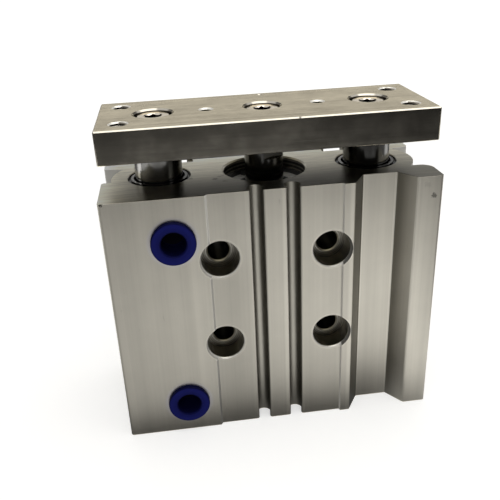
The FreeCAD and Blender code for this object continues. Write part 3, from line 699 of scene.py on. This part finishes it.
def dust_cap_plastic():
    """Deep blue, with painted shade along its upper rim and round the hollow, a painted highlight ring on
    its face, and the hollow painted nearly black as shade.
    """
    f = Finish("cap_plastic")
    tone, rough, normal = moulded_skin(f, 0.45, 0.01 * MM)
    from_axis = f.distance("y", PORTS)
    sunk = f.outside(f.y, CAP_LOW.y + 0.45 * MM, 0.2 * MM)
    hollow = f.both(f.inside(from_axis, 3.05 * MM, 0.25 * MM), sunk)
    upper_rim = f.both(f.outside(from_axis, 5.25 * MM, 0.15 * MM), f.spread(f.facing_z, -0.2, 0.4))
    # Painted shade on the upper rim, a painted highlight ring, and painted shade at the hollow's edge.
    tone = f.shade(tone, upper_rim, 0.35)
    tone = f.shade(tone, f.between(from_axis, 4.2 * MM, 5.1 * MM, 0.25 * MM), 1.2)
    tone = f.shade(tone, f.inside(from_axis, 3.45 * MM, 0.12 * MM), 0.55)
    # Painted shade: the hollow nearly black.
    colour = f.mix(hollow, f.tint((0.007, 0.009, 0.092), tone), (0.005, 0.004, 0.008))
    return f.finish(colour, rough, 0.0, normal, Specular_IOR_Level=0.05)


def make_finishes():
    return {
        "anodised_body": anodised_extrusion(),
        "turned_cover": turned_metal("turned_cover", (0.93, 0.91, 0.86), 0.5, metallic=0.0),
        "piston_alloy": turned_metal("piston_alloy", (0.62, 0.62, 0.62), 0.28),
        "nickel_plate": ground_nickel(),
        "hard_chrome": ground_chrome(),
        "bright_screw": socket_screw(),
        "dark_spring_steel": phosphated_steel(),
        "bearing_alloy": turned_metal("bearing_alloy", (0.50, 0.44, 0.32), 0.34),
        "holder_steel": felt_holder_metal(),
        "felt": wool_felt(),
        "seal_rubber": moulded("seal_rubber", (0.02, 0.02, 0.02), 0.50),
        "bumper_rubber": moulded("bumper_rubber", (0.06, 0.05, 0.04), 0.55),
        "wear_band": moulded("wear_band", (0.62, 0.58, 0.50), 0.45),
        "magnet": moulded("magnet", (0.045, 0.045, 0.05), 0.42),
        "cap_plastic": dust_cap_plastic(),
        "plug_steel": turned_metal("plug_steel", (0.46, 0.45, 0.41), 0.28),
    }


def dress_nodes(finishes):
    for row in frame["record"]["subparts"]:
        for place in frame["nodes"][row["node"]].material_slots:
            place.material = finishes[row["material_slot"]]


# ---- stage: camera, floor, light ---------------------------------------------
def add_camera():
    """Looks down at the front from the left, as a hand-held camera would."""
    azimuth, elevation, roll = (math.radians(a) for a in (-6.520, 26.243, -2.639))
    place = Vector((-23.493, -162.694, 118.597)) * MM
    back = Vector((
        math.sin(azimuth) * math.cos(elevation),
        -math.cos(azimuth) * math.cos(elevation),
        math.sin(elevation),
    ))
    level = Vector((0, 0, 1)).cross(back).normalized()
    upright = back.cross(level)
    right = level * math.cos(roll) + upright * math.sin(roll)
    up = upright * math.cos(roll) - level * math.sin(roll)
    camera = bpy.data.objects.new("camera", bpy.data.cameras.new("camera"))
    camera.data.sensor_width = 36.0
    camera.data.lens = 47.32
    camera.data.shift_y = 0.04
    camera.data.clip_start = 0.005
    camera.data.clip_end = 20.0
    camera.matrix_world = Matrix.Translation(place) @ Matrix((right, up, back)).transposed().to_4x4()
    bpy.context.scene.collection.objects.link(camera)
    bpy.context.scene.camera = camera


def seen_directly(f):
    """1 for camera, glossy and transmission rays, and 0 for the light that falls on things."""
    rays = f.node("ShaderNodeLightPath").outputs
    return f.either(rays["Is Camera Ray"], rays["Is Glossy Ray"], rays["Is Transmission Ray"])


def add_world(ambient):
    """White where it is seen or mirrored, and plain soft light everywhere else."""
    world = bpy.data.worlds.new("studio")
    bpy.context.scene.world = world
    f = Nodes(world, "ShaderNodeOutputWorld")
    light = f.shader("ShaderNodeBackground", Color=(1.0, 0.99, 0.97, 1.0), Strength=ambient)
    white = f.shader("ShaderNodeBackground", Color=WHITE, Strength=1.0)
    f.show(f.join_shaders("ShaderNodeMixShader", seen_directly(f), light, white))


def add_mesh(name, points, faces):
    mesh = bpy.data.meshes.new(name)
    mesh.from_pydata(points, [], faces)
    mesh.update()
    thing = bpy.data.objects.new(name, mesh)
    bpy.context.scene.collection.objects.link(thing)
    return thing


def add_floor(lift):
    """A pale floor that shows white and keeps the shadow. Near the object its own glow is the
    lift, so that the shadow shows; far away it is larger."""
    count, radius = 64, 4.0
    turns = [2 * math.pi * k / count for k in range(count)]
    rim = [(radius * math.cos(turn), radius * math.sin(turn), BODY_LOW.z) for turn in turns]
    floor = add_mesh("floor", rim, [list(range(count))])
    f = Finish("floor")
    glow = f.spread(f.vector("LENGTH", f.place), 0.08, 0.60, lift, 0.85)
    matt = f.shader("ShaderNodeBsdfDiffuse", Color=(0.80, 0.80, 0.79, 1.0))
    bright = f.shader("ShaderNodeEmission", Color=WHITE, Strength=f.times(seen_directly(f), glow))
    f.show(f.join_shaders("ShaderNodeAddShader", matt, bright))
    floor.data.materials.append(f.material)


def add_card(name, corners, density=None):
    """A dark card that only mirrors show: it gives bright metal its dark sides.
    density is a function that returns how dense the card is, from 0 to 1."""
    card = add_mesh(name, corners, [[0, 1, 2, 3]])
    f = Finish(name)
    clear = f.shader("ShaderNodeBsdfTransparent")
    dark = f.shader("ShaderNodeEmission", Color=(0.02, 0.019, 0.018, 1.0))
    f.show(f.join_shaders("ShaderNodeMixShader", density(f) if density else 1.0, clear, dark))
    card.data.materials.append(f.material)
    card.visible_camera = False
    card.visible_shadow = False
    card.visible_diffuse = False


def front_card_density(f):
    """Dense at the foot of the object and far in front, where it paints the shadows of the object and of the
    camera on the floor as mirrors see them, at the left and at the right, thin between.
    """
    # Painted shadow at the foot of the object.
    foot = f.times(f.spread(f.y, BODY_LOW.y - 26 * MM, BODY_LOW.y, 0.0, 0.85),
                   f.spread(f.x, 0.02, 0.07, 1.0, 0.15))
    far = f.spread(f.y, -0.25, -0.135, 0.95, 0.0)
    left = f.spread(f.x, -0.12, 0.05, 0.60, 0.0)
    right = f.spread(f.x, 0.065, 0.14, 0.0, 0.85)
    return f.either(foot, far, left, right)


def back_card_density(f):
    """A bright band on a grey backdrop."""
    return f.either(f.spread(f.z, 0.19, 0.24, 0.90, 0.0), f.spread(f.z, 0.275, 0.325, 0.0, 0.80))


def back_floor_density(f):
    """A painted shadow on the floor just behind the object, as mirrors see it."""
    return f.times(f.spread(f.y, 0.06, 0.15, 0.0, 0.93), f.spread(f.y, 0.30, 0.60, 1.0, 0.0))


def lying(x_low, x_high, y_low, y_high, z):
    return [(x_low, y_low, z), (x_high, y_low, z), (x_high, y_high, z), (x_low, y_high, z)]


def standing(x_low, x_high, y, top):
    return [(x_low, y, 0), (x_high, y, 0), (x_high, y, top), (x_low, y, top)]


def add_softbox(name, place, target, size, brightness, colour=(1.0, 1.0, 1.0), mirrored=True):
    """A rectangular lamp whose face has the stated brightness, where 1 is white."""
    lamp = bpy.data.lights.new(name, "AREA")
    lamp.shape = "RECTANGLE"
    width, height = size
    lamp.size = width
    lamp.size_y = height
    lamp.energy = brightness * math.pi * width * height
    lamp.color = colour
    thing = bpy.data.objects.new(name, lamp)
    thing.visible_glossy = mirrored
    thing.location = place
    thing.rotation_euler = (Vector(target) - Vector(place)).to_track_quat("-Z", "Y").to_euler()
    bpy.context.scene.collection.objects.link(thing)


def add_stage():
    add_camera()
    add_world(0.30)
    add_floor(0.52)
    just_above_floor = BODY_LOW.z + 0.2 * MM
    near, far = -0.75, 0.75
    add_card("front_card", lying(-0.6, 0.7, near, BODY_LOW.y / 2, just_above_floor), front_card_density)
    add_card("back_floor_card", lying(-0.3, 0.3, BODY_HIGH.y, far, just_above_floor), back_floor_density)
    add_card("back_card", standing(-1.5, 1.5, 0.8, 1.2), back_card_density)
    for side, x, y, top in (("left", -0.30, 0.06, 0.30), ("right", 0.34, 0.22, 0.17)):
        add_card(f"{side}_card", [(x, near, 0), (x, y, 0), (x, y, top), (x, near, top)])
    add_card("camera_side_card", standing(-0.9, 0.9, near, 1.2))
    add_softbox("top_box", place=(0.05, 0.0, 0.46), target=(0, 0, 0.04), size=(0.42, 0.36),
                brightness=1.9, colour=(1.0, 0.98, 0.94))
    add_softbox("front_box", place=(-0.05, -0.55, 0.30), target=(0, 0, 0.05), size=(0.40, 0.20),
                brightness=3.0, mirrored=False)


# ---- small parts that the solids leave plain -----------------------------------
# Radius of the drilled wall, outer radius of the thread, and pitch.
M5_THREAD = (2.1 * MM, 2.5 * MM, 0.8 * MM)
M6_THREAD = (2.5 * MM, 3.0 * MM, 1.0 * MM)


def thread_ridge(points, faces, mouth, inward, thread, depth):
    """Adds one helical ridge that stands inward from the wall of a tapped hole."""
    wall_r, major_r, pitch = thread
    crest_r = wall_r - 0.55 * (major_r - wall_r)
    root_r = wall_r + 0.01 * MM
    lead = 0.5 * pitch
    steps = 28
    side = Vector((0, 1, 0)) if abs(inward.y) < 0.5 else Vector((1, 0, 0))
    other = inward.cross(side)
    count = int(depth / pitch * steps)
    first = len(points)
    for k in range(count + 1):
        turn = 2 * math.pi * k / steps
        outward = side * math.cos(turn) + other * math.sin(turn)
        along = pitch * k / steps
        fade = min(1.0, (along + 0.15 * pitch) / lead, (depth - along + 0.15 * pitch) / lead)
        crest = root_r - (root_r - crest_r) * fade
        centre = mouth + inward * along
        for radius, shift in ((root_r, -0.42), (crest, -0.06), (crest, 0.06), (root_r, 0.42)):
            points.append(centre + outward * radius + inward * (shift * pitch))
    for k in range(count):
        low, high = first + 4 * k, first + 4 * (k + 1)
        for edge in range(4):
            after = (edge + 1) % 4
            faces.append((low + edge, low + after, high + after, high + edge))
    faces.append(tuple(first + edge for edge in (3, 2, 1, 0)))
    faces.append(tuple(first + 4 * count + edge for edge in range(4)))


def add_threads(name, body, slot, mouths, inward, thread, depth, start, finishes):
    """One piece with the ridges of several tapped holes, each from start to start + depth."""
    points, faces = [], []
    for mouth in mouths:
        thread_ridge(points, faces, mouth + inward * start, inward, thread, depth)
    ridge = add_mesh(name, points, faces)
    ridge.data.materials.append(finishes[slot])
    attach(ridge, body)


def add_all_threads(finishes):
    """M5 in the plate's corners and the bottom end, M6 in the back."""
    down, up, front = Vector((0, 0, -1)), Vector((0, 0, 1)), Vector((0, -1, 0))
    corners = [Vector((*place, PLATE_HIGH.z)) for place in PLATE_THREADS]
    add_threads("plate_threads", "plate", "bright_screw", corners, down,
                M5_THREAD, 6.7 * MM, 0.40 * MM, finishes)
    corners = [Vector((sx * 36 * MM, sy * 14 * MM, BODY_LOW.z)) for sx in (-1, 1) for sy in (-1, 1)]
    add_threads("bottom_threads", "cylinder", "anodised_body", corners, up,
                M5_THREAD, 11.0 * MM, 0.9 * MM, finishes)
    holes = [Vector((x, BODY_HIGH.y, z)) for x, z in MOUNTING_HOLES]
    add_threads("back_threads", "cylinder", "anodised_body", holes, front,
                M6_THREAD, 10.5 * MM, 1.0 * MM, finishes)


def add_knurls(finishes):
    """A fine straight knurl around each screw head: a closed sleeve with a toothed outside."""
    teeth = 60
    around = 2 * teeth
    for node in ("guide_rod_screw_left", "piston_rod_screw", "guide_rod_screw_right"):
        low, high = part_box(node)
        x, y = (low.x + high.x) / 2, (low.y + high.y) / 2
        head_r = (high.x - low.x) / 2
        bottom, foot, shoulder, top = (high.z - down * MM for down in (4.4, 4.2, 0.75, 0.55))
        rows = (
            (bottom, 0.01, 0.01),
            (foot, 0.09, 0.01),
            (shoulder, 0.09, 0.01),
            (top, 0.01, 0.01),
            (top, -0.15, -0.15),
            (bottom, -0.15, -0.15),
        )
        points, faces = [], []
        for z, tooth, gap in rows:
            for k in range(around):
                turn = math.pi * k / teeth
                radius = head_r + (gap if k % 2 else tooth) * MM
                points.append((x + radius * math.cos(turn), y + radius * math.sin(turn), z))
        for row in range(len(rows)):
            for k in range(around):
                after = (k + 1) % around
                this, other = row * around, (row + 1) % len(rows) * around
                faces.append((this + k, this + after, other + after, other + k))
        knurl = add_mesh(node.replace("screw", "screw_knurl"), points, faces)
        knurl.data.materials.append(finishes["bright_screw"])
        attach(knurl, "plate")


bpy.context.scene.view_settings.view_transform = "Standard"
finishes = make_finishes()
dress_nodes(finishes)
add_all_threads(finishes)
add_knurls(finishes)
add_stage()
